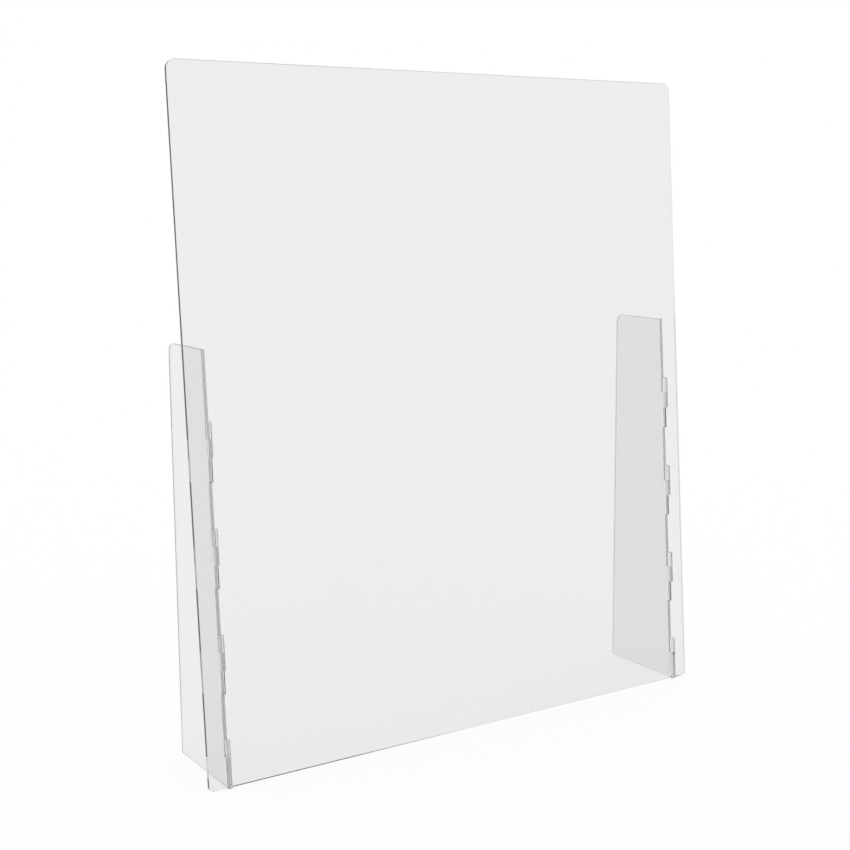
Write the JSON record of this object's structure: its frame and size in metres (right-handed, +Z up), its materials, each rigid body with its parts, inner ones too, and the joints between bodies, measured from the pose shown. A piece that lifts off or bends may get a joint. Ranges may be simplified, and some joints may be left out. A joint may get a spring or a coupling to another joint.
{
  "type": "desk privacy panel",
  "caption": "Free-standing clear desk barrier: a tall rounded sheet leaning back slightly, hung by slots on the hooks of upright side panels that stand behind it.",
  "frame": {"origin": "on the desk, under the middle of the object's box", "axes": "+X across the barrier to the right, +Y to the back, where the side panels stand, and +Z up"},
  "size_m": [0.8064, 0.1522, 0.9125],
  "materials": {
    "clear_sheet": "clear cast sheet with polished faces and cut edges"
  },
  "bodies": {
    "left_side_panel": {"left_side_panel": "clear_sheet"},
    "main_panel": {"main_panel": "clear_sheet"},
    "right_side_panel": {"right_side_panel": "clear_sheet"}
  },
  "joints": [
    {"name": "main_panel_lift", "type": "slide", "parent": "left_side_panel", "child": "main_panel", "axis": [0, 0.0698, 0.9976], "range_m": [0, 0.029]},
    {"name": "right_side_panel_drop", "type": "slide", "parent": "main_panel", "child": "right_side_panel", "axis": [0, -0.0698, -0.9976], "range_m": [0, 0.029]}
  ],
  "couplings": [
    {"joint": "right_side_panel_drop", "follows": "main_panel_lift", "ratio": 1}
  ]
}
